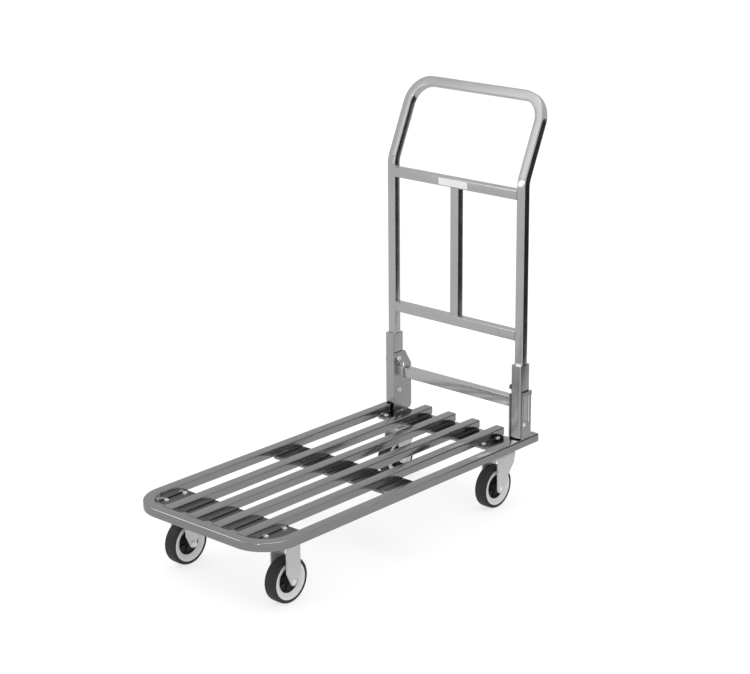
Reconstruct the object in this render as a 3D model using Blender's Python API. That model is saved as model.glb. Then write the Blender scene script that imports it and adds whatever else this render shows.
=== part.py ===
"""Folding platform cart: slatted steel deck, fold-down push handle, two fixed
and two swivel casters.  Metres, +Z up, +X to the cart's right-hand side, the
handle at +Y.  The origin is on the floor, at the middle of the footprint.

Main layout: a U-shaped deck rim of flat tube holds four slats of the same.
Three pressed cross channels under the slats carry them and the casters.  The
handle is one bent tube with two rungs and a centre post.  It turns
about two pivot bolts, between an inner plate on the rear channel and an outer
plate on the rim, and folds forward over the deck."""
import math
import bmesh
import bpy
from mathutils import Matrix, Vector

MM = 0.001

# ---------------------------------------------------------------- dimensions
TUBE = 20.0          # height of the deck tubes, depth of the handle tubes
RAIL_W = 25.0        # width of the rim and slat tubes
LEG_W = 22.0         # width of the handle tube
RUNG_H = 23.0        # height of the rungs, width of the centre post
WALL = 1.5           # tube wall
ROUND = 2.0          # tube corner rounding
GAP = 0.3            # gap kept between touching pieces

DECK_TOP = 166.0     # top of the slats above the floor
DECK_W = 414.0       # over the side rails
RAIL_END = 884.0     # rear end of the side rails, from the front of the deck
CORNER_R = 84.0      # outside radius of the two front corners
SLAT_PITCH = 72.6    # slat to slat
SLAT_END = 867.0     # rear end of the slats

CHANNEL_T = 3.0      # sheet thickness of the cross channels
# name, front edge, rear edge, half length side to side, depth of the front lip and of the rear lip
CHANNELS = (("front_cross_channel", 68.0, 156.0, 190.0, 10.0, 7.0), ("middle_cross_channel", 424.5, 514.5, 190.0, 7.0, 7.0),
            ("rear_cross_channel", 778.0, 868.0, 190.0, 7.0, 7.0))

HANDLE_Y = 838.3     # centre line of the handle legs
HANDLE_X = 189.5     # half spacing of the handle legs
PIVOT_Y = 834.0      # pivot bolt and stop pin, from the front of the deck
PIVOT_Z = 34.0       # pivot bolt above the deck top
STOP_Z = 113.0       # stop pin above the deck top
BOLT_R = 4.95        # pivot bolt
STOP_R = 4.0         # stop pin
LEG_BOTTOM = 4.0     # leg end above the deck top
BEND_Z = 594.0       # where the handle starts to lean back, above the deck top
LEAN = math.radians(24.4)
BEND_R = 60.0        # radius of that bend
LEAN_LEN = 191.8     # bend point to the grip's centre line
GRIP_R = 56.0        # centre line radius of the two grip corners
UPPER_BAR = 554.0    # underside of the upper rung above the deck top
MIDDLE_BAR = 230.0   # underside of the middle rung
SLEEVE_X = (176.4, 202.5)        # sleeve round the foot of each leg
SLEEVE_Y = (820.3, 854.6)
SLEEVE_Z = (3.5, 175.0)          # above the deck top

RELEASE_BAR = 66.5   # underside of the release bar above the deck top
RELEASE_H = 25.0     # height of the bar's tube
RELEASE_Y = (838.0, 858.0)
RELEASE_TRAVEL = 8.0 # how far it lifts
RELEASE_HALF = 163.0 # half length of the bar's own tube

WHEEL_R = 50.0
WHEEL_W = 30.0
RING_OUT, RING_IN = 42.0, 28.0   # grey ring between the tread and the hub
FRONT_AXLE = (150.0, 112.4)      # half spacing, distance from the front
REAR_AXLE = (149.0, 793.4)
REAR_PIN_Y = 818.0               # swivel axis of the rear casters
FORK_IN, FORK_T = 21.0, 3.0      # inner face of a fork leg, sheet thickness
AXLE_R = 4.0

FOOT_DEPTH = HANDLE_Y + (LEAN_LEN + 0.5 * LEG_W - ROUND) * math.sin(LEAN) + 0.5 * TUBE * math.cos(LEAN)
Y0 = -0.5 * FOOT_DEPTH           # moves the front of the deck to -Y
Z0 = DECK_TOP

for ob in list(bpy.data.objects):
    bpy.data.objects.remove(ob, do_unlink=True)

# ----------------------------------------------------------------- materials
def material(name, colour, rough, metal):
    m = bpy.data.materials.new(name)
    m.use_nodes = True
    b = m.node_tree.nodes["Principled BSDF"]
    b.inputs["Base Color"].default_value = (*colour, 1.0)
    b.inputs["Roughness"].default_value = rough
    b.inputs["Metallic"].default_value = metal
    m.diffuse_color = (*colour, 1.0)
    m.roughness, m.metallic = rough, metal
    return m

STEEL = material("brushed_stainless", (0.55, 0.56, 0.56), 0.28, 1.0)
BRIGHT = material("bright_stainless", (0.72, 0.73, 0.74), 0.2, 1.0)
FORK = material("pressed_steel", (0.62, 0.63, 0.64), 0.38, 1.0)
ZINC = material("zinc_fastener", (0.78, 0.78, 0.76), 0.3, 1.0)
RUBBER = material("black_rubber", (0.025, 0.025, 0.027), 0.6, 0.0)
RING = material("grey_plastic", (0.5, 0.5, 0.51), 0.45, 0.0)
HUB = material("black_plastic", (0.03, 0.03, 0.032), 0.5, 0.0)
CAP = material("dark_plastic", (0.09, 0.09, 0.095), 0.5, 0.0)
LABEL = material("blank_label", (0.86, 0.86, 0.85), 0.4, 0.0)

# ------------------------------------------------------------------- helpers
def place(bm, name, mat, origin=None, smooth=35.0):
    """Turn a bmesh made in millimetres (deck frame) into an object."""
    o = Vector(origin) if origin else Vector((0.0, 0.0, 0.0))
    move = Vector((0.0, Y0, 0.0))
    for v in bm.verts:
        v.co = (v.co + move) * MM - (o + (move if origin else Vector())) * MM
    bmesh.ops.recalc_face_normals(bm, faces=bm.faces[:])
    me = bpy.data.meshes.new(name)
    bm.to_mesh(me)
    bm.free()
    me.materials.append(mat)
    me.shade_smooth()
    me.set_sharp_from_angle(angle=math.radians(smooth))
    ob = bpy.data.objects.new(name, me)
    bpy.context.scene.collection.objects.link(ob)
    if origin:
        ob.location = (o + move) * MM
    return ob

def prism(points, axis, a0, a1):
    """Extrude a flat outline along X, Y or Z, from a0 to a1."""
    bm = bmesh.new()
    def at(p, a):
        if axis == "X":
            return Vector((a, p[0], p[1]))
        if axis == "Y":
            return Vector((p[0], a, p[1]))
        return Vector((p[0], p[1], a))
    low = [bm.verts.new(at(p, a0)) for p in points]
    top = [bm.verts.new(at(p, a1)) for p in points]
    n = len(points)
    bm.faces.new(low)
    bm.faces.new(list(reversed(top)))
    for i in range(n):
        j = (i + 1) % n
        bm.faces.new((low[i], low[j], top[j], top[i]))
    bmesh.ops.recalc_face_normals(bm, faces=bm.faces[:])
    return bm

def block(x0, x1, y0, y1, z0, z1):
    return prism([(x0, y0), (x1, y0), (x1, y1), (x0, y1)], "Z", z0, z1)

def square(size, r, size_b=None, seg=1):
    """Rounded square profile, as (a, b) points."""
    ha, hb = 0.5 * size, 0.5 * (size_b if size_b else size)
    pts = []
    for sa, sb, start in ((1, 1, 0), (-1, 1, 90), (-1, -1, 180), (1, -1, 270)):
        for i in range(seg + 1):
            t = math.radians(start + 90.0 * i / seg)
            pts.append((sa * (ha - r) + r * math.cos(t), sb * (hb - r) + r * math.sin(t)))
    return pts

def sweep(stations, outer, inner):
    """Hollow tube along stations of (centre, a-direction, b-direction)."""
    bm = bmesh.new()
    rings = []
    for c, a, b in stations:
        c, a, b = Vector(c), Vector(a), Vector(b)
        rings.append(([bm.verts.new(c + a * p[0] + b * p[1]) for p in outer],
                      [bm.verts.new(c + a * p[0] + b * p[1]) for p in inner]))
    n = len(outer)
    for (o0, i0), (o1, i1) in zip(rings, rings[1:]):
        for k in range(n):
            m = (k + 1) % n
            bm.faces.new((o0[k], o0[m], o1[m], o1[k]))
            bm.faces.new((i0[k], i1[k], i1[m], i0[m]))
    for (o, i) in (rings[0], rings[-1]):
        for k in range(n):
            m = (k + 1) % n
            bm.faces.new((o[k], i[k], i[m], o[m]))
    bmesh.ops.recalc_face_normals(bm, faces=bm.faces[:])
    return bm

def straight_tube(p0, p1, a, b, wide=TUBE, deep=TUBE, wall=WALL):
    return sweep([(p0, a, b), (p1, a, b)], square(wide, ROUND, deep),
                 square(wide - 2 * wall, 0.6, deep - 2 * wall))

def turned(profile, centre, axis="X", seg=32, mirror=1.0):
    """Turn a closed (along, radius) outline round an axis through centre."""
    bm = bmesh.new()
    rings = []
    for along, r in profile:
        ring = []
        for k in range(seg):
            t = 2.0 * math.pi * k / seg
            c, s = r * math.cos(t), r * math.sin(t)
            p = (along * mirror, c, s) if axis == "X" else (c, s, along)
            ring.append(bm.verts.new(Vector(centre) + Vector(p)))
        rings.append(ring)
    closed = profile[0][1] > 1e-6 and profile[-1][1] > 1e-6
    pairs = list(zip(rings, rings[1:])) + ([(rings[-1], rings[0])] if closed else [])
    for r0, r1 in pairs:
        for k in range(seg):
            m = (k + 1) % seg
            bm.faces.new((r0[k], r0[m], r1[m], r1[k]))
    if not closed:
        bmesh.ops.remove_doubles(bm, verts=bm.verts[:], dist=1e-4)
    bmesh.ops.recalc_face_normals(bm, faces=bm.faces[:])
    return bm

def rod(centre, axis, a0, a1, r, seg=20):
    """Plain solid cylinder, with one face at each end."""
    bm = bmesh.new()
    ends = []
    for a in (a0, a1):
        ring = []
        for k in range(seg):
            t = 2.0 * math.pi * k / seg
            c, s = r * math.cos(t), r * math.sin(t)
            p = {"X": (a, c, s), "Y": (c, a, s), "Z": (c, s, a)}[axis]
            ring.append(bm.verts.new(Vector(centre) + Vector(p)))
        ends.append(ring)
    bm.faces.new(ends[0])
    bm.faces.new(list(reversed(ends[1])))
    for k in range(seg):
        m = (k + 1) % seg
        bm.faces.new((ends[0][k], ends[0][m], ends[1][m], ends[1][k]))
    bmesh.ops.recalc_face_normals(bm, faces=bm.faces[:])
    return bm

def cutter(bm, name):
    ob = place(bm, name, STEEL)
    ob.hide_render = True
    ob.display_type = "WIRE"
    return ob

def cut(ob, *tools):
    for t in tools:
        m = ob.modifiers.new("cut", "BOOLEAN")
        m.operation = "DIFFERENCE"
        m.solver = "EXACT"
        m.object = t

def arc(cx, cy, r, a0, a1, n):
    return [(cx + r * math.cos(math.radians(a0 + (a1 - a0) * i / n)),
             cy + r * math.sin(math.radians(a0 + (a1 - a0) * i / n))) for i in range(n + 1)]

X, Y, Z = Vector((1, 0, 0)), Vector((0, 1, 0)), Vector((0, 0, 1))
SIDES = (("left", -1.0), ("right", 1.0))

# ---------------------------------------------------------------------- deck
half = 0.5 * (DECK_W - RAIL_W)
zc = DECK_TOP - 0.5 * TUBE
rc = CORNER_R - 0.5 * RAIL_W
cyc = 0.5 * RAIL_W + rc
stations = [((half, RAIL_END, zc), X, Z)]
for i in range(9):
    t = math.radians(90.0 * i / 8)
    out = Vector((math.cos(t), -math.sin(t), 0.0))
    stations.append((Vector((half - rc, cyc, zc)) + out * rc, out, Z))
for i in range(9):
    t = math.radians(90.0 - 90.0 * i / 8)
    out = Vector((-math.cos(t), -math.sin(t), 0.0))
    stations.append((Vector((-half + rc, cyc, zc)) + out * rc, out, Z))
stations.append(((-half, RAIL_END, zc), -X, Z))
place(sweep(stations, square(RAIL_W, ROUND, TUBE), square(RAIL_W - 2 * WALL, 0.6, TUBE - 2 * WALL)), "deck_rim_tube", STEEL)
for side, s in SIDES:
    bm = prism([(s * half + p[0], zc + p[1]) for p in square(RAIL_W - 0.4, ROUND, TUBE - 0.4)], "Y", RAIL_END + GAP, RAIL_END + GAP + 2.0)
    place(bm, "rim_end_cap_" + side, STEEL)

for i in range(4):
    xs = (i - 1.5) * SLAT_PITCH
    place(straight_tube((xs, RAIL_W + GAP, zc), (xs, SLAT_END, zc), X, Z, RAIL_W, TUBE), "slat_%d" % (i + 1), STEEL)

top = DECK_TOP - TUBE - GAP
for name, y, y1, length, lip, lip1 in CHANNELS:
    outline = [(y, top - lip), (y, top - 1.5), (y + 1.5, top), (y1 - 1.5, top), (y1, top - 1.5), (y1, top - lip1),
               (y1 - CHANNEL_T * 0.8, top - lip1), (y1 - CHANNEL_T * 0.8, top - CHANNEL_T),
               (y + CHANNEL_T * 0.8, top - CHANNEL_T), (y + CHANNEL_T * 0.8, top - lip)]
    place(prism(outline, "X", -length, length), name, STEEL)

# ------------------------------------------------------------ hinge brackets
IN_PLATE = (173.0, 176.0)
OUT_PLATE = (202.9, 205.4)
BAND = 207.0                     # the outer plate's thicker top band reaches here
pivot = (0.0, PIVOT_Y, Z0 + PIVOT_Z)
stop = (0.0, PIVOT_Y, Z0 + STOP_Z)
for side, s in SIDES:
    bottom = DECK_TOP - TUBE
    outline = [(818.0, bottom), (869.0, bottom)] + arc(869.0, bottom + 10.0, 10.0, -90, 0, 5)[1:] + \
              [(879.0, Z0 + 92.0), (857.0, Z0 + 128.0), (820.0, Z0 + 128.0), (818.0, Z0 + 126.0)]
    x0, x1 = sorted((s * IN_PLATE[0], s * IN_PLATE[1]))
    plate = place(prism(outline, "X", x0, x1), "hinge_inner_plate_" + side, STEEL)
    a, b = sorted((s * 165.0, s * 180.0))
    hole = cutter(rod(pivot, "X", a, b, BOLT_R + GAP, 24), "cut_inner_pivot_" + side)
    zq = Z0 + STOP_Z
    notch = prism([(810.0, zq - 7.1), (PIVOT_Y - 0.5, zq - 7.1), (PIVOT_Y + 4.3, zq - 3.4), (PIVOT_Y + 4.3, zq + 2.4), (PIVOT_Y + 2.3, zq + 4.4),
                   (810.0, zq + 4.4)], "X", a, b)
    slot = block(a, b, 839.4, 856.6, Z0 + RELEASE_BAR + 1.7, Z0 + RELEASE_BAR + RELEASE_H - 2.0 + RELEASE_TRAVEL + 0.5)
    cut(plate, hole, cutter(notch, "cut_stop_notch_" + side), cutter(slot, "cut_release_slot_" + side))

    base = DECK_TOP + GAP
    outline = [(s * OUT_PLATE[0], base), (s * OUT_PLATE[1], base), (s * OUT_PLATE[1], Z0 + 102.0), (s * BAND, Z0 + 102.0),
               (s * BAND, Z0 + 112.0), (s * OUT_PLATE[0], Z0 + 112.0)]
    outer = place(prism(outline, "Y", 826.0, 858.0), "hinge_outer_plate_" + side, STEEL)
    a, b = sorted((s * 195.0, s * 215.0))
    window = prism([(832.0, Z0 + 50.0), (853.5, Z0 + 32.0), (853.5, Z0 + 101.5), (832.0, Z0 + 101.5)], "X", a, b)
    cut(outer, cutter(rod(pivot, "X", a, b, BOLT_R + GAP, 24), "cut_outer_pivot_" + side), cutter(window, "cut_window_" + side))

    # pivot bolt: domed head inboard, shank, thin flat head outboard
    profile = [(168.5, 0.0), (168.5, 5.0), (169.7, 6.6), (171.0, 7.0), (172.7, 7.0), (172.7, BOLT_R), (205.7, BOLT_R), (205.7, 6.6), (206.6, 6.6),
               (207.0, 6.0), (207.0, 0.0)]
    place(turned(profile, pivot, "X", 20, s), "pivot_bolt_" + side, ZINC, origin=pivot)

# --------------------------------------------------------------- release bar
ry = 0.5 * (RELEASE_Y[0] + RELEASE_Y[1])
rz = Z0 + RELEASE_BAR + 0.5 * RELEASE_H
place(straight_tube((-RELEASE_HALF, ry, rz), (RELEASE_HALF, ry, rz), Y, Z, TUBE, RELEASE_H), "release_bar_tube", STEEL)
for side, s in SIDES:
    a, b = sorted((s * (RELEASE_HALF + GAP), s * 176.0))
    place(prism([(ry + p[0], rz + p[1]) for p in square(16.0, 1.0, RELEASE_H - 4.0)], "X", a, b), "release_tongue_" + side, BRIGHT)

# -------------------------------------------------------------------- handle
u = Vector((0.0, math.sin(LEAN), math.cos(LEAN)))      # up the leaning part
n = Vector((0.0, math.cos(LEAN), -math.sin(LEAN)))     # its rear face
tan = BEND_R * math.tan(0.5 * LEAN)
bend = Vector((0.0, HANDLE_Y, Z0 + BEND_Z))
right = []
right.append((Vector((HANDLE_X, HANDLE_Y, Z0 + LEG_BOTTOM)), X, Y))
for i in range(6):
    t = LEAN * i / 5
    c = bend - Z * tan + Y * (BEND_R * (1 - math.cos(t))) + Z * (BEND_R * math.sin(t))
    right.append((c + X * HANDLE_X, X, Vector((0.0, math.cos(t), -math.sin(t)))))
corner = bend + u * (LEAN_LEN - GRIP_R)
for i in range(9):
    t = math.radians(90.0 * i / 8)
    out = X * math.cos(t) + u * math.sin(t)
    right.append((corner + X * (HANDLE_X - GRIP_R) + out * GRIP_R, out, n))
left = [(Vector((-c.x, c.y, c.z)), Vector((-a.x, a.y, a.z)), b) for c, a, b in reversed(right)]
handle = place(sweep(right + left, square(LEG_W, ROUND, TUBE), square(LEG_W - 2 * WALL, 0.6, TUBE - 2 * WALL)), "handle_tube", BRIGHT, origin=pivot)

xin = HANDLE_X - 0.5 * LEG_W - GAP
for name, z in (("handle_upper_bar", UPPER_BAR), ("handle_middle_bar", MIDDLE_BAR)):
    zz = Z0 + z + 0.5 * RUNG_H
    place(straight_tube((-xin, HANDLE_Y, zz), (xin, HANDLE_Y, zz), Y, Z, TUBE, RUNG_H), name, BRIGHT, origin=pivot)
place(straight_tube((0, HANDLE_Y, Z0 + MIDDLE_BAR + RUNG_H + GAP), (0, HANDLE_Y, Z0 + UPPER_BAR - GAP), X, Y, RUNG_H, TUBE), "handle_centre_post", BRIGHT,
      origin=pivot)
lab = prism([(p[0] - 3.0, p[1] + Z0 + UPPER_BAR + 11.0) for p in square(84.0, 1.5, 16.0)], "Y", HANDLE_Y - 0.5 * TUBE - GAP - 0.8,
            HANDLE_Y - 0.5 * TUBE - GAP)
place(lab, "blank_label_plate", LABEL, origin=pivot)

for side, s in SIDES:
    a, b = sorted((s * SLEEVE_X[0], s * SLEEVE_X[1]))
    outline = [(0.5 * (a + b) + p[0], 0.5 * (SLEEVE_Y[0] + SLEEVE_Y[1]) + p[1]) for p in square(b - a, ROUND, SLEEVE_Y[1] - SLEEVE_Y[0])]
    sleeve = place(prism(outline, "Z", Z0 + SLEEVE_Z[0], Z0 + SLEEVE_Z[1]), "leg_sleeve_" + side, BRIGHT, origin=pivot)
    wide, deep = 0.5 * LEG_W + GAP, 0.5 * TUBE + GAP
    bore = cutter(block(s * HANDLE_X - wide, s * HANDLE_X + wide, HANDLE_Y - deep, HANDLE_Y + deep, Z0 - 5.0, Z0 + SLEEVE_Z[1] + 5.0),
                  "cut_sleeve_bore_" + side)
    a, b = sorted((s * 170.0, s * 206.0))
    hole = cutter(rod(pivot, "X", a, b, BOLT_R + GAP, 24), "cut_leg_pivot_" + side)
    hole2 = cutter(rod(stop, "X", a, b, STOP_R + GAP, 24), "cut_leg_stop_" + side)
    cut(sleeve, bore, hole, hole2)
    cut(handle, hole, hole2)
    profile = [(168.5, 0.0), (168.5, 4.6), (169.6, 6.1), (170.8, 6.5), (172.7, 6.5), (172.7, STOP_R), (202.4, STOP_R), (202.4, 0.0)]
    place(turned(profile, stop, "X", 20, s), "stop_pin_" + side, ZINC, origin=pivot)

# ------------------------------------------------------------------- casters
plate_top = top - CHANNEL_T - GAP            # under the channel's web
plate_low = plate_top - 4.0
def wheel(tag, centre):
    w = 0.5 * WHEEL_W
    tyre = [(-w + 1.2, RING_OUT + GAP), (-w, RING_OUT + 2.0), (-w + 0.8, WHEEL_R - 3.6), (-w + 3.8, WHEEL_R - 0.7), (-w + 8.0, WHEEL_R),
            (w - 8.0, WHEEL_R), (w - 3.8, WHEEL_R - 0.7), (w - 0.8, WHEEL_R - 3.6), (w, RING_OUT + 2.0), (w - 1.2, RING_OUT + GAP)]
    place(turned(tyre, centre, "X", 36), tag + "_tyre", RUBBER, origin=centre)
    ring = [(-w + 1.4, RING_OUT), (-w + 0.4, RING_OUT - 1.2), (-w + 1.0, RING_IN + 1.2), (-w + 2.2, RING_IN), (w - 2.2, RING_IN),
            (w - 1.0, RING_IN + 1.2), (w - 0.4, RING_OUT - 1.2), (w - 1.4, RING_OUT)]
    place(turned(ring, centre, "X", 36), tag + "_wheel_ring", RING, origin=centre)
    hub = [(-19.0, AXLE_R + 0.3), (-19.0, 9.0), (-7.0, 10.5), (-5.5, 13.0), (-5.5, RING_IN - 4.0), (-w + 3.4, RING_IN - 2.0),
           (-w + 3.4, RING_IN - GAP), (w - 3.4, RING_IN - GAP), (w - 3.4, RING_IN - 2.0), (5.5, RING_IN - 4.0), (5.5, 13.0), (7.0, 10.5),
           (19.0, 9.0), (19.0, AXLE_R + 0.3)]
    place(turned(hub, centre, "X", 28), tag + "_wheel_hub", HUB, origin=centre)

def axle(tag, centre, s):
    e = FORK_IN + FORK_T + GAP
    # bolt head outboard, two spacers inside the fork, nut inboard
    profile = [(-e - 6.2, 0.0), (-e - 6.2, AXLE_R - 0.7), (-e - 4.6, 6.6), (-e, 6.6), (-e, AXLE_R), (-FORK_IN + GAP, AXLE_R),
               (-FORK_IN + GAP, 6.4), (-19.3, 6.4), (-19.3, AXLE_R), (19.3, AXLE_R), (19.3, 6.4), (FORK_IN - GAP, 6.4),
               (FORK_IN - GAP, AXLE_R), (e, AXLE_R), (e, 6.8), (e + 3.6, 6.8), (e + 4.2, 5.6), (e + 4.2, 0.0)]
    place(turned(profile, centre, "X", 18, s), tag + "_axle_bolt", ZINC, origin=centre)

def fork(tag, outline, cx, cy, web_top, web, origin=None, bore=0.0):
    """Sheet bent into an upside-down U, its legs cut to the outline."""
    a, b = FORK_IN, FORK_IN + FORK_T
    u_shape = [(cx - b, 0.0), (cx - a, 0.0), (cx - a, web_top - web), (cx + a, web_top - web), (cx + a, 0.0), (cx + b, 0.0),
               (cx + b, web_top - 2.0), (cx + b - 2.0, web_top), (cx - b + 2.0, web_top), (cx - b, web_top - 2.0)]
    blank = prism(u_shape, "Y", cy - 60.0, cy + 60.0)
    ob = place(blank, tag + "_fork", FORK, origin=origin)
    mask = cutter(prism(outline, "X", cx - b - 10.0, cx + b + 10.0), "shape_%s_fork" % tag)
    m = ob.modifiers.new("outline", "BOOLEAN")
    m.operation = "INTERSECT"
    m.solver = "EXACT"
    m.object = mask
    return ob

for side, s in SIDES:
    # fixed front caster
    tag = "front_" + side
    cx, cy = s * FRONT_AXLE[0], FRONT_AXLE[1]
    c = (cx, cy, WHEEL_R)
    place(prism([(cx + p[0], cy + p[1]) for p in square(76.0, 5.0, 76.0, 3)], "Z", plate_low, plate_top), tag + "_caster_plate", FORK)
    web_top = plate_low - GAP
    outline = [(cy - 20.0, web_top + 5.0), (cy - 20.0, 72.0)] + arc(cy, WHEEL_R, 9.0, 205, 335, 8) + [(cy + 20.0, 72.0), (cy + 20.0, web_top + 5.0)]
    f = fork(tag, outline, cx, cy, web_top, 3.0)
    cut(f, cutter(rod(c, "X", -40.0, 40.0, AXLE_R + 0.3, 20), "cut_%s_axle" % tag))
    axle(tag, c, s)
    wheel(tag, c)

    # swivelling rear caster
    tag = "rear_" + side
    cx, cy = s * REAR_AXLE[0], REAR_AXLE[1]
    c = (cx, cy, WHEEL_R)
    pin = (cx, REAR_PIN_Y, 0.0)
    plate = place(prism([(cx + p[0], REAR_PIN_Y + p[1]) for p in square(76.0, 5.0, 70.0, 3)], "Z", plate_low, plate_top),
                  tag + "_caster_plate", FORK)
    cut(plate, cutter(rod(pin, "Z", plate_low - 5.0, plate_top + 5.0, 6.3, 24), "cut_%s_plate" % tag))
    race_top = plate_low - GAP
    race = [(race_top, 6.3), (race_top, 24.0), (race_top - 3.0, 25.0), (race_top - 9.0, 23.5), (race_top - 13.0, 19.0), (race_top - 13.0, 6.3)]
    place(turned(race, pin, "Z", 32), tag + "_swivel_race", FORK, origin=pin)
    web_top = race_top - 13.0 - GAP
    tip = arc(cy, WHEEL_R, 12.0, 180, 320, 8)
    outline = [(cy - 12.0, web_top + 5.0)] + tip + [(823.0, 81.0), (839.0, 100.0), (845.0, web_top - 1.0), (845.0, web_top + 5.0)]
    f = fork(tag, outline, cx, cy, web_top, 3.5, origin=pin)
    cut(f, cutter(rod(c, "X", -40.0, 40.0, AXLE_R + 0.3, 20), "cut_%s_axle" % tag),
        cutter(rod(pin, "Z", web_top - 10.0, web_top + 5.0, 5.4, 24), "cut_%s_kingpin" % tag))
    # king pin: riveted head under the fork, upset end above the plate
    kp = [(web_top - 3.5 - GAP - 3.6, 0.0), (web_top - 3.5 - GAP - 3.6, 7.5), (web_top - 3.5 - GAP, 10.0), (web_top - 3.5 - GAP, 5.1),
          (plate_top - 0.4, 5.1), (plate_top - 0.4, 0.0)]
    place(turned(kp, pin, "Z", 20), tag + "_kingpin", ZINC, origin=pin)
    axle(tag, c, s)
    wheel(tag, c)
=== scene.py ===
import math
import random
import bmesh
import bpy
from mathutils import Matrix, Vector


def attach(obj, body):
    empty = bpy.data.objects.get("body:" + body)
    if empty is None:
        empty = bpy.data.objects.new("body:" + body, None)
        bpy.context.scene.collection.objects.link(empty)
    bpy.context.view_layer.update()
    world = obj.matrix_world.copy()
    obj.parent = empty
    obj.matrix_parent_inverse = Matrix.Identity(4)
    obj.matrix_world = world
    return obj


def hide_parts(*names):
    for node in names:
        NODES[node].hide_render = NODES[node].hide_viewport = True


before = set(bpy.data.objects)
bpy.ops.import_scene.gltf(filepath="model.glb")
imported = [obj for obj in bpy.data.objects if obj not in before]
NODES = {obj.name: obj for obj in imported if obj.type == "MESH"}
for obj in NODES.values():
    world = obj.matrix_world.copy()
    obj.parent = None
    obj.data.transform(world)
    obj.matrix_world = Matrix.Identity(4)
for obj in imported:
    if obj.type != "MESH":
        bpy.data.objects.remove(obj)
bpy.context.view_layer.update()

MM = 0.001
DECK = 166.0
Y0 = -465.179            # front of the deck, in the row frame, mm
X, Y, Z = Vector((1, 0, 0)), Vector((0, 1, 0)), Vector((0, 0, 1))
SIDES = (("left", -1.0), ("right", 1.0))
SEG = 6

# ------------------------------------------------------------------ materials
def tree(name):
    m = bpy.data.materials.new(name)
    m.use_nodes = True
    nt = m.node_tree
    return m, nt, nt.nodes["Principled BSDF"]

def node(nt, kind, **kw):
    n = nt.nodes.new(kind)
    for k, v in kw.items():
        setattr(n, k, v)
    return n

def ramp(nt, src, lo, hi, a=0.0, b=1.0):
    r = node(nt, "ShaderNodeMapRange")
    r.inputs["From Min"].default_value = lo
    r.inputs["From Max"].default_value = hi
    r.inputs["To Min"].default_value = a
    r.inputs["To Max"].default_value = b
    nt.links.new(src, r.inputs["Value"])
    return r.outputs["Result"]

def math_node(nt, op, a, b):
    n = node(nt, "ShaderNodeMath", operation=op)
    for i, v in enumerate((a, b)):
        if isinstance(v, (int, float)):
            n.inputs[i].default_value = v
        else:
            nt.links.new(v, n.inputs[i])
    return n.outputs[0]

def noise(nt, coord, scale, detail=3.0, rough=0.55, stretch=(1, 1, 1)):
    mp = node(nt, "ShaderNodeMapping")
    mp.inputs["Scale"].default_value = stretch
    nt.links.new(coord, mp.inputs["Vector"])
    n = node(nt, "ShaderNodeTexNoise")
    n.inputs["Scale"].default_value = scale
    n.inputs["Detail"].default_value = detail
    n.inputs["Roughness"].default_value = rough
    nt.links.new(mp.outputs[0], n.inputs["Vector"])
    return n.outputs["Fac"]

def tint(nt, fac, dark, light):
    mix = node(nt, "ShaderNodeMix", data_type="RGBA")
    mix.inputs["A"].default_value = (*dark, 1)
    mix.inputs["B"].default_value = (*light, 1)
    nt.links.new(fac, mix.inputs["Factor"])
    return mix.outputs["Result"]

def steel(name, colour, rough=(0.2, 0.34), along="UV", grain=1.0, smudge=0.06, bump=0.00003, metal=1.0):
    """Brushed stainless: fine lines along the sheet's rolling direction, soft smudges, slight tone drift."""
    m, nt, b = tree(name)
    tc = node(nt, "ShaderNodeTexCoord")
    if along == "UV":
        base, stretch = tc.outputs["UV"], (6.0, 900.0, 1.0)
    else:
        base = tc.outputs["Object"]
        stretch = {"X": (6.0, 900.0, 900.0), "Y": (900.0, 6.0, 900.0), "Z": (900.0, 900.0, 6.0)}[along]
    lines = noise(nt, base, 1.0, 4.0, 0.7, stretch)
    obj = tc.outputs["Object"]
    cloud = noise(nt, obj, 9.0, 4.0, 0.6)
    patch = noise(nt, obj, 42.0, 3.0, 0.6)
    tone = math_node(nt, "ADD", math_node(nt, "MULTIPLY", lines, 0.55), math_node(nt, "MULTIPLY", cloud, 0.45))
    dark = tuple(c * (1.0 - smudge * 2.0) for c in colour)
    light = tuple(min(1.0, c * (1.0 + smudge * 1.6)) for c in colour)
    nt.links.new(tint(nt, ramp(nt, tone, 0.3, 0.7), dark, light), b.inputs["Base Color"])
    r = math_node(nt, "ADD", math_node(nt, "MULTIPLY", lines, 0.5), math_node(nt, "MULTIPLY", math_node(nt, "MULTIPLY", cloud, patch), 1.0))
    nt.links.new(ramp(nt, r, 0.3, 0.72, rough[0], rough[1]), b.inputs["Roughness"])
    b.inputs["Metallic"].default_value = metal
    bm = node(nt, "ShaderNodeBump")
    bm.inputs["Strength"].default_value = 0.35 * grain
    bm.inputs["Distance"].default_value = bump
    nt.links.new(lines, bm.inputs["Height"])
    nt.links.new(bm.outputs[0], b.inputs["Normal"])
    m.diffuse_color = (*colour, 1)
    return m

def plastic(name, dark, light, rough=(0.4, 0.55), scale=60.0, bump=0.00005, spec=0.5):
    m, nt, b = tree(name)
    tc = node(nt, "ShaderNodeTexCoord")
    obj = tc.outputs["Object"]
    cloud = noise(nt, obj, scale, 4.0, 0.6)
    fine = noise(nt, obj, 1800.0, 2.0, 0.6)
    nt.links.new(tint(nt, ramp(nt, cloud, 0.3, 0.7), dark, light), b.inputs["Base Color"])
    nt.links.new(ramp(nt, cloud, 0.3, 0.7, rough[0], rough[1]), b.inputs["Roughness"])
    b.inputs["Specular IOR Level"].default_value = spec
    bm = node(nt, "ShaderNodeBump")
    bm.inputs["Strength"].default_value = 0.3
    bm.inputs["Distance"].default_value = bump
    nt.links.new(fine, bm.inputs["Height"])
    nt.links.new(bm.outputs[0], b.inputs["Normal"])
    return m

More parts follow.
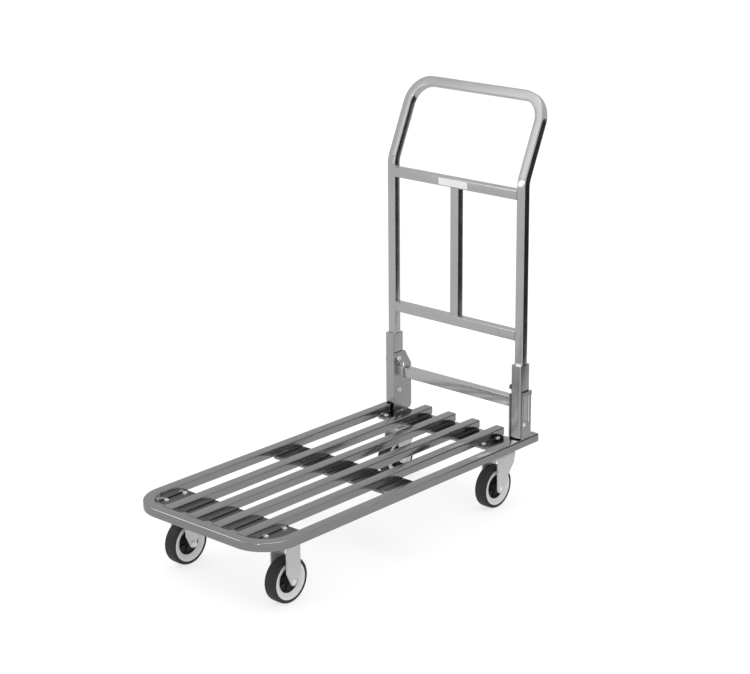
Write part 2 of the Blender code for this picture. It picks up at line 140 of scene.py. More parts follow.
# painted shade and painted light on one steel: the deck's darker base colour stands for the dim near floor its faces
# mirror, the handle's lighter base colour for the bright far floor its faces mirror
DECK_SHADED_C = (0.45, 0.455, 0.452)
HANDLE_LIT_C = (0.76, 0.765, 0.758)
DECK_UV = steel("deck_steel_lines", DECK_SHADED_C, rough=(0.12, 0.2), grain=0.5, smudge=0.04)
DECK_X = steel("channel_steel_lines", DECK_SHADED_C, along="X", rough=(0.14, 0.22), grain=0.5, smudge=0.04)
PLATE = steel("hinge_plate_steel", (0.55, 0.555, 0.55), along="Z", rough=(0.2, 0.32))
HANDLE_LIT_UV = steel("handle_steel_lines", HANDLE_LIT_C, rough=(0.13, 0.22), grain=0.6, smudge=0.04)
SLEEVE = steel("sleeve_steel", (0.66, 0.665, 0.66), along="Z", rough=(0.18, 0.28))
FORK = steel("pressed_fork_steel", (0.80, 0.805, 0.80), along="Z", rough=(0.34, 0.5), grain=0.6, metal=0.75)
ZINC = steel("bright_fastener", (0.90, 0.90, 0.88), along="X", rough=(0.18, 0.3), grain=0.4, metal=0.5)
WELD = steel("weld_bead", (0.52, 0.515, 0.50), along="X", rough=(0.3, 0.5), grain=0.4, smudge=0.15)
RUBBER = plastic("tyre_rubber", (0.016, 0.016, 0.017), (0.027, 0.027, 0.028), rough=(0.42, 0.6), scale=45.0, spec=0.45)
RING = plastic("grey_wheel_ring", (0.62, 0.62, 0.63), (0.70, 0.70, 0.71), rough=(0.32, 0.46), scale=30.0)
HUB = plastic("black_hub_plastic", (0.006, 0.006, 0.007), (0.014, 0.014, 0.015), rough=(0.38, 0.55), scale=50.0, spec=0.4)
LABEL = plastic("blank_label", (0.72, 0.725, 0.72), (0.80, 0.80, 0.795), rough=(0.28, 0.42), scale=25.0)
CAP = steel("end_cap_steel", (0.50, 0.505, 0.50), along="X")

# -------------------------------------------------------------------- helpers
def finish_piece(bm, name, mat, body, replace=(), sharp=32.0, bevel=0.0):
    for v in bm.verts:
        v.co = Vector((v.co.x * MM, (v.co.y + Y0) * MM, v.co.z * MM))
    bmesh.ops.recalc_face_normals(bm, faces=bm.faces[:])
    me = bpy.data.meshes.new(name)
    bm.to_mesh(me)
    bm.free()
    me.materials.append(mat)
    me.shade_smooth()
    me.set_sharp_from_angle(angle=math.radians(sharp))
    ob = bpy.data.objects.new(name, me)
    bpy.context.scene.collection.objects.link(ob)
    if bevel:
        b = ob.modifiers.new("edge", "BEVEL")
        b.width = bevel * MM
        b.segments = 3
        b.limit_method = "ANGLE"
        b.angle_limit = math.radians(35)
        b.harden_normals = True
    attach(ob, body)
    if replace:
        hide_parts(*replace)
    return ob

def square(size, r, size_b=None, seg=SEG, ca=0.0, cb=0.0):
    ha, hb = 0.5 * size, 0.5 * (size_b if size_b else size)
    pts = []
    for sa, sb, start in ((1, 1, 0), (-1, 1, 90), (-1, -1, 180), (1, -1, 270)):
        for i in range(seg + 1):
            t = math.radians(start + 90.0 * i / seg)
            pts.append((ca + sa * (ha - r) + r * math.cos(t), cb + sb * (hb - r) + r * math.sin(t)))
    return pts

def sweep(stations, outer, inner):
    """Hollow tube with UVs: u runs along it and v round it, both in metres."""
    bm = bmesh.new()
    uv = bm.loops.layers.uv.new("UVMap")
    rings, length = [], [0.0]
    for k, (c, a, b) in enumerate(stations):
        c, a, b = Vector(c), Vector(a), Vector(b)
        if k:
            length.append(length[-1] + (c - Vector(stations[k - 1][0])).length * MM)
        rings.append(([bm.verts.new(c + a * p[0] + b * p[1]) for p in outer],
                      [bm.verts.new(c + a * p[0] + b * p[1]) for p in inner]))
    n = len(outer)
    def run(pts):
        d = [0.0]
        for i in range(n):
            p, q = pts[i], pts[(i + 1) % n]
            d.append(d[-1] + math.hypot(q[0] - p[0], q[1] - p[1]) * MM)
        return d
    ro, ri = run(outer), run(inner)
    def face(vs, uvs):
        f = bm.faces.new(vs)
        for loop, t in zip(f.loops, uvs):
            loop[uv].uv = t
    for k in range(len(rings) - 1):
        (o0, i0), (o1, i1) = rings[k], rings[k + 1]
        l0, l1 = length[k], length[k + 1]
        for j in range(n):
            m = (j + 1) % n
            face((o0[j], o0[m], o1[m], o1[j]), ((l0, ro[j]), (l0, ro[j + 1]), (l1, ro[j + 1]), (l1, ro[j])))
            face((i0[j], i1[j], i1[m], i0[m]), ((l0, ri[j]), (l1, ri[j]), (l1, ri[j + 1]), (l0, ri[j + 1])))
    for (o, i) in (rings[0], rings[-1]):
        for j in range(n):
            m = (j + 1) % n
            face((o[j], i[j], i[m], o[m]), ((0, ro[j]), (0.002, ro[j]), (0.002, ro[j + 1]), (0, ro[j + 1])))
    return bm

def tube(p0, p1, a, b, wide=20.0, deep=20.0, wall=1.5, r=2.2, steps=1, lip=0.25):
    """Straight square tube; its cut ends are left flat."""
    p0, p1 = Vector(p0), Vector(p1)
    return sweep([(p0.lerp(p1, k / steps), a, b) for k in range(steps + 1)], square(wide, r, deep),
                 square(wide - 2 * wall, 0.9, deep - 2 * wall))

def prism(points, axis, a0, a1):
    bm = bmesh.new()
    def at(p, a):
        return Vector({"X": (a, p[0], p[1]), "Y": (p[0], a, p[1]), "Z": (p[0], p[1], a)}[axis])
    low = [bm.verts.new(at(p, a0)) for p in points]
    top = [bm.verts.new(at(p, a1)) for p in points]
    bm.faces.new(low)
    bm.faces.new(list(reversed(top)))
    n = len(points)
    for i in range(n):
        j = (i + 1) % n
        bm.faces.new((low[i], low[j], top[j], top[i]))
    return bm

def add_turned(bm, profile, centre, axis="X", seg=64, mirror=1.0):
    rings = []
    for along, r in profile:
        if r < 1e-6:
            p = (along * mirror, 0, 0) if axis == "X" else (0, 0, along)
            rings.append([bm.verts.new(Vector(centre) + Vector(p))] * seg)
            continue
        ring = []
        for k in range(seg):
            t = 2.0 * math.pi * k / seg
            c, s = r * math.cos(t), r * math.sin(t)
            p = (along * mirror, c, s) if axis == "X" else (c, s, along)
            ring.append(bm.verts.new(Vector(centre) + Vector(p)))
        rings.append(ring)
    closed = profile[0][1] > 1e-6 and profile[-1][1] > 1e-6
    pairs = list(zip(rings, rings[1:])) + ([(rings[-1], rings[0])] if closed else [])
    for r0, r1 in pairs:
        for k in range(seg):
            m = (k + 1) % seg
            vs = []
            for v in (r0[k], r0[m], r1[m], r1[k]):
                if v not in vs:
                    vs.append(v)
            if len(vs) > 2:
                bm.faces.new(vs)
    return bm

def turned(profile, centre, axis="X", seg=64, mirror=1.0):
    return add_turned(bmesh.new(), profile, centre, axis, seg, mirror)

def soft(profile, r=0.5, n=3):
    """Rounds the corners of a (along, radius) outline by r."""
    out = []
    m = len(profile)
    for i, p in enumerate(profile):
        p = Vector((p[0], p[1]))
        if profile[i][1] < 1e-6 or (not (profile[0][1] > 1e-6) and i in (0, m - 1)):
            out.append((p.x, p.y))
            continue
        a, b = Vector(profile[i - 1][:2]), Vector(profile[(i + 1) % m][:2])
        da, db = (a - p), (b - p)
        la, lb = da.length, db.length
        if la < 1e-6 or lb < 1e-6:
            out.append((p.x, p.y))
            continue
        ra, rb = min(r, la * 0.45), min(r, lb * 0.45)
        q0, q1 = p + da / la * ra, p + db / lb * rb
        for k in range(n + 1):
            t = k / n
            s = q0 * (1 - t) ** 2 + p * 2 * t * (1 - t) + q1 * t ** 2
            out.append((s.x, s.y))
    return out

def add_hex(bm, centre, axis, a0, a1, flat, turn=0.0, chamfer=0.7):
    """Hexagon head or nut across `flat`, from a0 to a1, with eased corners."""
    n = 6
    r = 0.5 * flat / math.cos(math.pi / n)
    sgn = 1.0 if a1 > a0 else -1.0
    levels = [(a0, r), (a1 - sgn * chamfer, r), (a1, r - chamfer)]
    rings = []
    for a, rr in levels:
        ring = []
        for k in range(n * 4):
            t = turn + 2 * math.pi * k / (n * 4)
            ph = ((t - turn) % (math.pi / 3)) - math.pi / 6
            rad = min(rr, 0.5 * flat / math.cos(ph) if rr >= r - 1e-6 else min(0.5 * flat / math.cos(ph), rr))
            c, s = rad * math.cos(t), rad * math.sin(t)
            p = {"X": (a, c, s), "Z": (c, s, a), "Y": (c, a, s)}[axis]
            ring.append(bm.verts.new(Vector(centre) + Vector(p)))
        rings.append(ring)
    for r0, r1 in zip(rings, rings[1:]):
        for k in range(n * 4):
            m = (k + 1) % (n * 4)
            bm.faces.new((r0[k], r0[m], r1[m], r1[k]))
    bm.faces.new(rings[0])
    bm.faces.new(list(reversed(rings[-1])))

def arc(cx, cy, r, a0, a1, n):
    return [(cx + r * math.cos(math.radians(a0 + (a1 - a0) * i / n)),
             cy + r * math.sin(math.radians(a0 + (a1 - a0) * i / n))) for i in range(n + 1)]

def add_bead(bm, path, r, closed=False, seed=1):
    """Weld bead: a rippled round run along the points."""
    rnd = random.Random(seed)
    pts = [Vector(p) for p in path]
    fine = []
    m = len(pts)
    for i in range(m if closed else m - 1):
        a, b = pts[i], pts[(i + 1) % m]
        steps = max(1, int((b - a).length / 1.1))
        for k in range(steps):
            fine.append(a.lerp(b, k / steps))
    if not closed:
        fine.append(pts[-1])
    rings, k = [], 8
    cnt = len(fine)
    for i, p in enumerate(fine):
        q = fine[(i + 1) % cnt] if (closed or i < cnt - 1) else p
        o = fine[i - 1] if (closed or i) else p
        d = (q - o).normalized()
        ref = Z if abs(d.z) < 0.9 else X
        a = d.cross(ref).normalized()
        b = d.cross(a).normalized()
        rr = r * (1.0 + 0.16 * math.sin(i * 2.1) + rnd.uniform(-0.07, 0.07))
        if not closed:
            rr *= min(1.0, 0.45 + 0.3 * min(i, cnt - 1 - i))
        rings.append([bm.verts.new(p + (a * math.cos(2 * math.pi * j / k) + b * math.sin(2 * math.pi * j / k)) * rr) for j in range(k)])
    for r0, r1 in zip(rings, rings[1:] + ([rings[0]] if closed else [])):
        for j in range(k):
            bm.faces.new((r0[j], r0[(j + 1) % k], r1[(j + 1) % k], r1[j]))
    if not closed:
        bm.faces.new(rings[0])
        bm.faces.new(rings[-1])

def dress(name, mat, width=0.45):
    """A CAD node that keeps its own shape: welded, planar faces merged, edges eased, new material."""
    ob = NODES[name]
    ob.data.materials.clear()
    ob.data.materials.append(mat)
    for p in ob.data.polygons:
        p.material_index = 0
        p.use_smooth = True
    w = ob.modifiers.new("join", "WELD")
    w.merge_threshold = 0.000002
    d = ob.modifiers.new("flat", "DECIMATE")
    d.decimate_type = "DISSOLVE"
    d.angle_limit = math.radians(1.5)
    b = ob.modifiers.new("edge", "BEVEL")
    b.width = width * MM
    b.segments = 2
    b.limit_method = "ANGLE"
    b.angle_limit = math.radians(40)
    b.harden_normals = False
    n = ob.modifiers.new("shade", "WEIGHTED_NORMAL")
    n.keep_sharp = False
    n.weight = 80
    return ob

# ------------------------------------------------------------------ deck rim
half, zc, rc = 194.5, DECK - 10.0, 71.5
bend = 26
st = [((half, 884.0, zc), X, Z)]
for k in range(1, 7):
    st.append(((half, 884.0 + (84.0 - 884.0) * k / 7, zc), X, Z))
for i in range(bend + 1):
    t = math.radians(90.0 * i / bend)
    out = Vector((math.cos(t), -math.sin(t), 0.0))
    st.append((Vector((half - rc, 84.0, zc)) + out * rc, out, Z))
for k in range(1, 4):
    st.append(((123.0 - 246.0 * k / 4, 12.5, zc), -Y, Z))
for i in range(bend + 1):
    t = math.radians(90.0 - 90.0 * i / bend)
    out = Vector((-math.cos(t), -math.sin(t), 0.0))
    st.append((Vector((-half + rc, 84.0, zc)) + out * rc, out, Z))
for k in range(1, 7):
    st.append(((-half, 84.0 + 800.0 * k / 7, zc), -X, Z))
st.append(((-half, 884.0, zc), -X, Z))
finish_piece(sweep(st, square(25.0, 3.2, 20.0), square(22.0, 1.4, 17.0)), "rim_tube_skin", DECK_UV, "deck", ["deck_rim_tube"])
for side, s in SIDES:
    finish_piece(prism([(s * half + p[0], zc + p[1]) for p in square(24.6, 3.0, 19.6)], "Y", 884.25, 886.3), "rim_cap_skin_" + side, CAP, "deck",
                 ["rim_end_cap_" + side], bevel=0.6)

# ---------------------------------------------------------------------- slats
SLATS = [(i - 1.5) * 72.6 for i in range(4)]
for i, xs in enumerate(SLATS):
    finish_piece(tube((xs, 25.05, zc), (xs, 867.0, zc), X, Z, wide=25.0, r=3.0, steps=4), "slat_skin_%d" % (i + 1), DECK_UV, "deck", ["slat_%d" % (i + 1)])

# ------------------------------------------------------------- cross channels
TOP = DECK - 20.3
def channel_profile(y0, y1, h, h1):
    t, r = 3.0, 3.2
    q = 6
    o = [(y0, TOP - h)] + [(y0 + r - r * math.cos(math.radians(90 * i / q)), TOP - r + r * math.sin(math.radians(90 * i / q))) for i in range(q + 1)]
    o += [(y1 - r + r * math.sin(math.radians(90 * i / q)), TOP - r + r * math.cos(math.radians(90 * i / q))) for i in range(q + 1)]
    o += [(y1, TOP - h1), (y1 - 2.4, TOP - h1)]
    k = 0.9
    o += [(y1 - 2.4 - k + k * math.cos(math.radians(90 * i / 3)), TOP - t - k + k * math.sin(math.radians(90 * i / 3))) for i in range(4)]
    o += [(y0 + 2.4 + k - k * math.sin(math.radians(90 * i / 3)), TOP - t - k + k * math.cos(math.radians(90 * i / 3))) for i in range(4)]
    o += [(y0 + 2.4, TOP - h)]
    return o
CHANNELS = (("front", 68.0, 156.0, 190.0, 10.0, 7.0), ("middle", 424.5, 514.5, 190.0, 7.0, 7.0), ("rear", 778.0, 868.0, 190.0, 7.0, 7.0))
for nm, y0, y1, length, lip, lip1 in CHANNELS:
    finish_piece(prism(channel_profile(y0, y1, lip, lip1), "X", -length, length), nm + "_channel_skin", DECK_X, "deck", [nm + "_cross_channel"],
                 sharp=40.0, bevel=0.35)

# weld runs under the deck, where the channels' ends meet the rails and where their edges cross the slats
bm = bmesh.new()
seed = 3
for nm, y0, y1, length, lip, lip1 in CHANNELS:
    for s in (-1, 1):
        for a, b in ((y0 + 8, y0 + 34), (y1 - 34, y1 - 8)):
            seed += 1
            add_bead(bm, [(s * (length + 0.5), a, TOP - 0.7), (s * (length + 0.5), b, TOP - 0.7)], 1.3, False, seed)
    for xs in SLATS:
        for y in (y0 - 0.4, y1 + 0.4):
            if y < 866.0:
                seed += 1
                add_bead(bm, [(xs - 9.0, y, TOP - 1.1), (xs + 9.0, y, TOP - 1.1)], 1.0, False, seed)
finish_piece(bm, "deck_weld_beads", WELD, "deck", sharp=60.0)

# --------------------------------------------------------------- hinge plates
for side, s in SIDES:
    dress("hinge_inner_plate_" + side, PLATE, 0.5)
    dress("hinge_outer_plate_" + side, PLATE, 0.5)
    bm = bmesh.new()
    for k, (xa, dy) in enumerate(((172.2, 0.0), (176.8, 0.0))):
        add_bead(bm, [(s * xa, 822.0, TOP + 0.7), (s * xa, 842.0, TOP + 0.7)], 1.5, False, 60 + k)
        add_bead(bm, [(s * xa, 848.0, TOP + 0.7), (s * xa, 866.0, TOP + 0.7)], 1.5, False, 70 + k)
    add_bead(bm, [(s * 205.4, 829.0, DECK + 0.1), (s * 205.4, 855.0, DECK + 0.1)], 0.9, False, 80)
    finish_piece(bm, "bracket_weld_beads_" + side, WELD, "deck", sharp=60.0)

PIVOT = Vector((0, 834.0, DECK + 34.0))
STOP = Vector((0, 834.0, DECK + 113.0))
def dome(x0, x1, r, n=6):
    """Domed head from its flat face at x1 to the crown at x0."""
    d = x1 - x0
    pts = [(x0 + d * (1 - math.cos(math.radians(90 * i / n))) * 0.8, r * math.sin(math.radians(90 * i / n))) for i in range(n + 1)]
    pts[0] = (x0, 0.0)
    return pts + [(x1 - 0.1 * (1 if d > 0 else -1), r)]
for side, s in SIDES:
    prof = dome(168.5, 172.7, 7.0) + [(172.7, 6.8), (172.7, 4.95), (205.0, 4.95), (205.4, 4.5), (205.5, 0.0)]
    finish_piece(turned(prof, PIVOT, "X", 48, s), "pivot_bolt_skin_" + side, ZINC, "deck", ["pivot_bolt_" + side])
    prof = dome(168.5, 172.7, 6.5) + [(172.7, 6.3), (172.7, 4.0), (202.1, 4.0), (202.3, 3.8), (202.3, 0.0)]
    finish_piece(turned(prof, STOP, "X", 48, s), "stop_pin_skin_" + side, ZINC, "handle", ["stop_pin_" + side])

# --------------------------------------------------------------- release bar
rz = DECK + 66.5 + 12.5
finish_piece(tube((-163.0, 848.0, rz), (163.0, 848.0, rz), Y, Z, 20.0, 25.0, steps=3), "release_tube_skin", HANDLE_LIT_UV, "release_bar",
             ["release_bar_tube"])
for side, s in SIDES:
    a, b = sorted((s * 163.3, s * 176.0))
    finish_piece(prism([(848.0 + p[0], rz + p[1]) for p in square(16.0, 1.2, 21.0)], "X", a, b), "release_tongue_skin_" + side, ZINC, "release_bar",
                 ["release_tongue_" + side], bevel=0.5)
    a, b = sorted((s * 162.7, s * 160.9))
    finish_piece(prism([(848.0 + p[0], rz + p[1]) for p in square(16.8, 1.4, 21.8)], "X", a, b), "release_plug_" + side, CAP, "release_bar",
                 bevel=0.4)

# --------------------------------------------------------------------- handle
HY, HX, LEAN = 838.3, 189.5, math.radians(24.4)
u = Vector((0.0, math.sin(LEAN), math.cos(LEAN)))
nrm = Vector((0.0, math.cos(LEAN), -math.sin(LEAN)))
R, G = 60.0, 56.0
tan = R * math.tan(0.5 * LEAN)
vertex = Vector((0.0, HY, DECK + 594.0))
right = [(Vector((HX, HY, DECK + 4.0 + (594.0 - tan - 4.0) * k / 8)), X, Y) for k in range(8)]
nb = 16
for i in range(nb + 1):
    t = LEAN * i / nb
    c = vertex - Z * tan + Y * (R * (1 - math.cos(t))) + Z * (R * math.sin(t))
    right.append((c + X * HX, X, Vector((0.0, math.cos(t), -math.sin(t)))))
corner = vertex + u * (191.8 - G)
nb = 24
for i in range(nb + 1):
    t = math.radians(90.0 * i / nb)
    out = X * math.cos(t) + u * math.sin(t)
    right.append((corner + X * (HX - G) + out * G, out, nrm))
left = [(Vector((-c.x, c.y, c.z)), Vector((-a.x, a.y, a.z)), b) for c, a, b in reversed(right)]
finish_piece(sweep(right + left, square(22.0, 2.6, 20.0), square(19.0, 1.2, 17.0)), "handle_tube_skin", HANDLE_LIT_UV, "handle", ["handle_tube"])

xin = HX - 11.0 + 0.2
RUNGS = (("upper", 554.0, 22.4), ("middle", 230.0, 23.0))
for nm, z, high in RUNGS:
    zz = DECK + z + 0.5 * high
    finish_piece(tube((-xin, HY, zz), (xin, HY, zz), Y, Z, 20.0, high, steps=3), nm + "_rung_skin", HANDLE_LIT_UV, "handle", ["handle_%s_bar" % nm])
finish_piece(tube((0, HY, DECK + 252.9), (0, HY, DECK + 554.1), X, Y, 23.0, 20.0, steps=3), "centre_post_skin", HANDLE_LIT_UV, "handle", ["handle_centre_post"])

bm = bmesh.new()
for k, (nm, z, high) in enumerate(RUNGS):
    for s in (-1, 1):
        loop = [(s * (HX - 11.0), HY + p[0], DECK + z + 0.5 * high + p[1]) for p in square(19.8, 2.4, high - 0.2, seg=3)]
        add_bead(bm, loop, 0.7, True, 90 + k)
for k, z in enumerate((253.1, 553.9)):
    add_bead(bm, [(p[0], HY + p[1], DECK + z) for p in square(22.8, 2.4, 19.8, seg=3)], 0.7, True, 95 + k)
finish_piece(bm, "handle_weld_beads", steel("handle_weld", (0.70, 0.70, 0.69), along="X", rough=(0.26, 0.42), grain=0.4), "handle",
             sharp=60.0)

lab = prism([(p[0] - 3.0, p[1] + DECK + 565.0) for p in square(84.0, 2.0, 16.0)], "Y", 827.2, 828.25)
finish_piece(lab, "plain_label_skin", LABEL, "handle", ["blank_label_plate"], bevel=0.3)

for side, s in SIDES:
    cx, cy = 0.5 * (176.4 + 202.5), 0.5 * (820.3 + 854.6)
    outer = square(26.1, 2.8, 34.3)
    inner = [(p[0] + s * (HX - cx), p[1] + HY - cy) for p in square(22.5, 1.8, 20.5)]
    zs = [3.5, 60.0, 120.0, 175.0]
    bm = sweep([((s * cx, cy, DECK + z), X, Y) for z in zs], outer, inner)
    finish_piece(bm, "leg_sleeve_skin_" + side, SLEEVE, "handle", ["leg_sleeve_" + side], bevel=0.0)

# -------------------------------------------------------------------- casters
PT = TOP - 3.3           # top of the caster plates
PL = PT - 4.0
W = 15.0
def wheel(tag, c, s):
    n = 7
    tyre = [(-W + 1.3, 42.2), (-W + 0.3, 42.9), (-W, 44.2), (-W + 0.35, 46.0)]
    tyre += [(-W + 4.4 - 4.0 * math.cos(math.radians(90 * i / n)), 46.0 + 3.7 * math.sin(math.radians(90 * i / n))) for i in range(1, n + 1)]
    tyre += [(-7.0, 49.95), (-3.0, 50.0), (-0.5, 50.0)]
    tyre += [(-p[0], p[1]) for p in reversed(tyre)]
    finish_piece(turned(tyre, c, "X", 96), tag + "_tyre_skin", RUBBER, tag + "_wheel", [tag + "_tyre"])
    # dished ring: full at the rim, falling towards the hub
    ring = [(13.7, 42.15), (14.5, 41.4), (14.7, 40.2), (14.3, 38.6), (13.2, 36.4), (11.9, 34.0), (10.6, 31.8), (9.7, 30.0), (9.3, 28.6), (8.7, 28.0)]
    ring = [(-a, r) for a, r in ring] + [(a, r) for a, r in reversed(ring)]
    finish_piece(turned(ring, c, "X", 96), tag + "_ring_skin", RING, tag + "_wheel", [tag + "_wheel_ring"], sharp=50.0)
    hub = [(-19.0, 4.3), (-19.0, 8.4), (-18.5, 9.0), (-8.0, 10.2), (-5.6, 11.6), (-4.9, 13.6), (-4.9, 22.0), (-5.6, 24.2), (-7.4, 25.4), (-8.6, 25.9),
           (-8.8, 26.6), (-8.8, 28.05)]
    hub = hub + [(-a, r) for a, r in reversed(hub)]
    bm = turned(hub, c, "X", 96)
    for k in range(6):                       # ribs between the barrel and the rim
        t = math.radians(60 * k + 15)
        d, e = Vector((0, math.cos(t), math.sin(t))), Vector((0, -math.sin(t), math.cos(t)))
        for side in (-1, 1):
            ring0 = []
            for rad, depth in ((9.5, 8.6), (25.0, 7.6)):
                for w, x in ((-1.1, 4.6), (1.1, 4.6), (0.8, depth), (-0.8, depth)):
                    ring0.append(bm.verts.new(Vector(c) + d * rad + e * w + X * (side * x)))
            a, b = ring0[:4], ring0[4:]
            bm.faces.new(a)
            bm.faces.new(list(reversed(b)))
            for q in range(4):
                bm.faces.new((a[q], a[(q + 1) % 4], b[(q + 1) % 4], b[q]))
    finish_piece(bm, tag + "_hub_skin", HUB, tag + "_wheel", [tag + "_wheel_hub"], sharp=40.0)

def axle(tag, c, s, body):
    bm = bmesh.new()
    seg = 48
    add_turned(bm, soft([(-24.3, 0.0), (-24.3, 4.0), (24.6, 4.0), (24.6, 0.0)], 0.2), c, "X", seg, s)
    for a in (-1, 1):
        add_turned(bm, soft([(a * 19.25, 3.9), (a * 19.25, 6.4), (a * 20.8, 6.4), (a * 20.8, 3.9)], 0.25), c, "X", seg, 1.0)
    add_turned(bm, [(24.05, 3.9), (24.05, 6.3), (24.5, 6.2), (25.0, 5.4), (25.3, 4.0), (25.4, 0.0)], c, "X", seg, s)
    add_hex(bm, c, "X", s * -24.2, s * -29.6, 11.4, 0.1)
    finish_piece(bm, tag + "_axle_skin", ZINC, body, [tag + "_axle_bolt"], sharp=30.0)

def plate_bolts(tag, cx, cy, dx, dy):
    bm = bmesh.new()
    for a in (-1, 1):
        for b in (-1, 1):
            c = (cx + a * dx, cy + b * dy, 0.0)
            crown = [(TOP + 3.6, 0.0)] + [(TOP + 3.6 - 3.0 * (1 - math.cos(math.radians(90 * i / 6))), 6.0 * math.sin(math.radians(90 * i / 6))) for i in
                                          range(1, 7)] + [(TOP + 0.02, 6.1), (TOP - 0.5, 6.1), (TOP - 0.5, 3.0), (PL - 5.6, 3.0), (PL - 6.0, 2.6),
                                                          (PL - 6.0, 0.0)]
            add_turned(bm, crown, c, "Z", 32)
            add_turned(bm, soft([(PL + 0.1, 3.2), (PL + 0.1, 6.2), (PL - 0.9, 6.2), (PL - 0.9, 3.2)], 0.2), c, "Z", 32)
            add_hex(bm, c, "Z", PL - 0.9, PL - 5.0, 10.0, 0.2 * a + 0.3 * b, 0.5)
    finish_piece(bm, tag + "_plate_bolts", ZINC, "deck", sharp=30.0)

for side, s in SIDES:
    tag = "front_" + side
    c = Vector((s * 150.0, 112.4, 50.0))
    dress(tag + "_caster_plate", FORK, 0.5)
    dress(tag + "_fork", FORK, 0.5)
    axle(tag, c, s, "deck")
    wheel(tag, c, s)
    plate_bolts(tag, c.x, c.y, 27.5, 27.0)

    tag = "rear_" + side
    c = Vector((s * 149.0, 793.4, 50.0))
    pin = Vector((s * 149.0, 818.0, 0.0))
    dress(tag + "_caster_plate", FORK, 0.5)
    dress(tag + "_fork", FORK, 0.5)
    axle(tag, c, s, tag + "_swivel")
    wheel(tag, c, s)
    plate_bolts(tag, pin.x, pin.y, 28.5, 26.0)
    rt = PL - 0.2
    race = [(rt, 6.2), (rt, 23.4), (rt - 0.8, 24.2), (rt - 3.6, 25.0), (rt - 5.0, 24.6), (rt - 5.6, 23.2), (rt - 6.2, 22.8), (rt - 6.9, 23.6),
            (rt - 8.2, 24.0), (rt - 10.2, 22.8), (rt - 12.2, 20.2), (rt - 13.0, 18.4), (rt - 13.0, 6.2)]
    finish_piece(turned(race, pin, "Z", 72), tag + "_race_skin", FORK, "deck", [tag + "_swivel_race"], sharp=45.0)
    wt = PL - 0.3 - 13.3 - 3.8
    kp = [(wt - 3.6, 0.0), (wt - 3.6, 4.0), (wt - 3.0, 7.0), (wt - 1.6, 9.2), (wt - 0.1, 10.0), (wt, 9.6), (wt, 5.1), (PT - 0.5, 5.1), (PT - 0.4, 0.0)]
    finish_piece(turned(kp, pin, "Z", 48), tag + "_kingpin_skin", ZINC, "deck", [tag + "_kingpin"], sharp=35.0)

# --------------------------------------------------------- floor, light, camera
def stage_plane(name, verts, mat, camera=True):
    me = bpy.data.meshes.new(name)
    me.from_pydata([tuple(v) for v in verts], [], [tuple(range(len(verts)))])
    me.materials.append(mat)
    ob = bpy.data.objects.new(name, me)
    bpy.context.scene.collection.objects.link(ob)
    ob.visible_camera = camera
    return ob

m, nt, b = tree("pale_floor")
b.inputs["Base Color"].default_value = (0.34, 0.34, 0.34, 1)
b.inputs["Emission Color"].default_value = (1.0, 1.0, 1.0, 1)
b.inputs["Emission Strength"].default_value = 0.71
lp = node(nt, "ShaderNodeLightPath")         # steel mirrors a greyer floor than the eye sees
em = node(nt, "ShaderNodeEmission")
em.inputs["Color"].default_value = (0.5, 0.5, 0.5, 1)
em.inputs["Strength"].default_value = 1.0
mx = node(nt, "ShaderNodeMixShader")
nt.links.new(lp.outputs["Is Glossy Ray"], mx.inputs[0])
nt.links.new(b.outputs[0], mx.inputs[1])
nt.links.new(em.outputs[0], mx.inputs[2])
back = node(nt, "ShaderNodeMixShader")       # seen from below, the floor is clear
nt.links.new(node(nt, "ShaderNodeNewGeometry").outputs["Backfacing"], back.inputs[0])
nt.links.new(mx.outputs[0], back.inputs[1])
nt.links.new(node(nt, "ShaderNodeBsdfTransparent").outputs[0], back.inputs[2])
nt.links.new(back.outputs[0], nt.nodes["Material Output"].inputs["Surface"])
b.inputs["Roughness"].default_value = 0.9
b.inputs["Specular IOR Level"].default_value = 0.1
stage_plane("studio_floor", [(-30, -30, 0), (30, -30, 0), (30, 30, 0), (-30, 30, 0)], m)

def card(name, centre, along, width, z0, z1, value):
    """Flag seen only in reflections."""
    m, nt, b = tree(name)
    out = nt.nodes["Material Output"]
    nt.nodes.remove(b)
    e = node(nt, "ShaderNodeEmission")
    e.inputs["Color"].default_value = (value, value, value, 1)
    e.inputs["Strength"].default_value = 1.0
    nt.links.new(e.outputs[0], out.inputs["Surface"])
    c, a = Vector(centre), Vector(along).normalized() * (0.5 * width)
    ob = stage_plane(name, [(c.x - a.x, c.y - a.y, z0), (c.x + a.x, c.y + a.y, z0), (c.x + a.x, c.y + a.y, z1), (c.x - a.x, c.y - a.y, z1)], m, False)
    ob.visible_diffuse = False
    ob.visible_shadow = False
    ob.visible_transmission = False
    return ob
card("dark_flag_right", (0.75, 1.18, 0), (0.0, 1.0, 0), 0.95, 0.02, 0.86, 0.010)

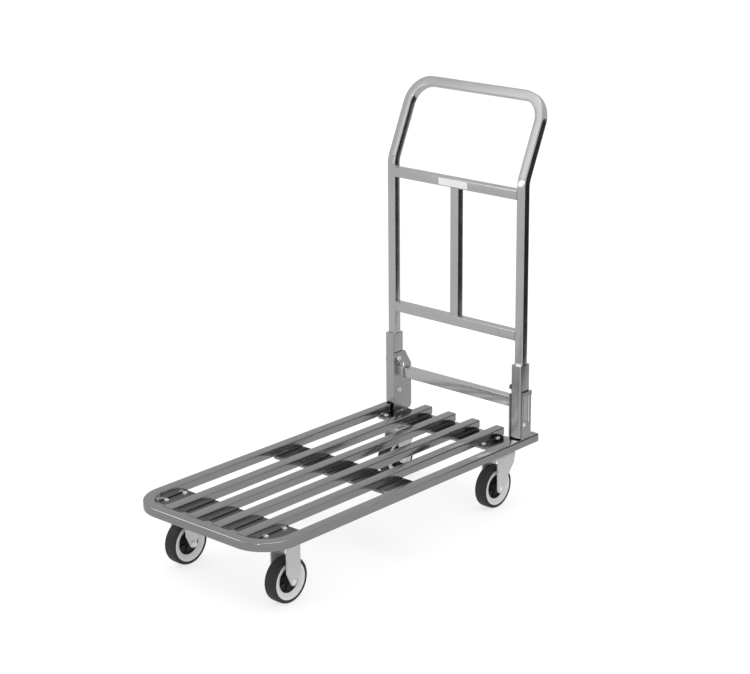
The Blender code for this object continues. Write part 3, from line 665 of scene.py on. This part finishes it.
world = bpy.data.worlds.new("studio")
bpy.context.scene.world = world
world.use_nodes = True
bg = world.node_tree.nodes["Background"]
bg.inputs["Color"].default_value = (1.0, 1.0, 1.0, 1)
bg.inputs["Strength"].default_value = 1.0
wt = world.node_tree
lp = node(wt, "ShaderNodeLightPath")
grey = node(wt, "ShaderNodeBackground")
grey.inputs["Color"].default_value = (0.5, 0.5, 0.5, 1)
mx = node(wt, "ShaderNodeMixShader")
wt.links.new(lp.outputs["Is Glossy Ray"], mx.inputs[0])
wt.links.new(bg.outputs[0], mx.inputs[1])
wt.links.new(grey.outputs[0], mx.inputs[2])
wt.links.new(mx.outputs[0], wt.nodes["World Output"].inputs["Surface"])

def area(name, loc, target, size, power, size_y=None):
    light = bpy.data.lights.new(name, "AREA")
    light.energy = power
    light.shape = "RECTANGLE"
    light.size, light.size_y = size, size_y or size
    ob = bpy.data.objects.new(name, light)
    bpy.context.scene.collection.objects.link(ob)
    ob.location = loc
    ob.visible_camera = False
    ob.rotation_euler = (Vector(target) - Vector(loc)).to_track_quat("-Z", "Y").to_euler()
    return ob
area("key_softbox", (-1.6, -2.4, 2.6), (0, 0, 0.3), 1.6, 3.0)
area("front_edge_strip", (-0.62, -0.75, 0.82), (0, -0.45, 0.16), 0.3, 1.0, 0.55)
area("top_softbox", (0.3, 0.2, 3.0), (0, 0, 0.2), 1.4, 8.0)
area("edge_softbox", (1.3, -2.9, 1.5), (0.2, -0.45, 0.16), 0.45, 4.5)

cam_data = bpy.data.cameras.new("camera")
cam_data.sensor_width = 36.0
cam_data.lens = 2026.62 * 36.0 / 750.0
cam_data.clip_start, cam_data.clip_end = 0.05, 200.0
cam = bpy.data.objects.new("camera", cam_data)
bpy.context.scene.collection.objects.link(cam)
yaw, pitch, roll = 0.7336, 0.3052, -0.0080
fwd = Vector((-math.sin(yaw) * math.cos(pitch), math.cos(yaw) * math.cos(pitch), -math.sin(pitch)))
rgt = Vector((math.cos(yaw), math.sin(yaw), 0.0))
up = rgt.cross(fwd)
r2 = rgt * math.cos(roll) + up * math.sin(roll)
u2 = -rgt * math.sin(roll) + up * math.cos(roll)
mw = Matrix((r2, u2, -fwd)).transposed().to_4x4()
mw.translation = Vector((2.8499, (-2603.1 + Y0) * MM, 1.6083 + DECK * MM))
cam.matrix_world = mw
bpy.context.scene.camera = cam
bpy.context.scene.view_settings.view_transform = "Standard"
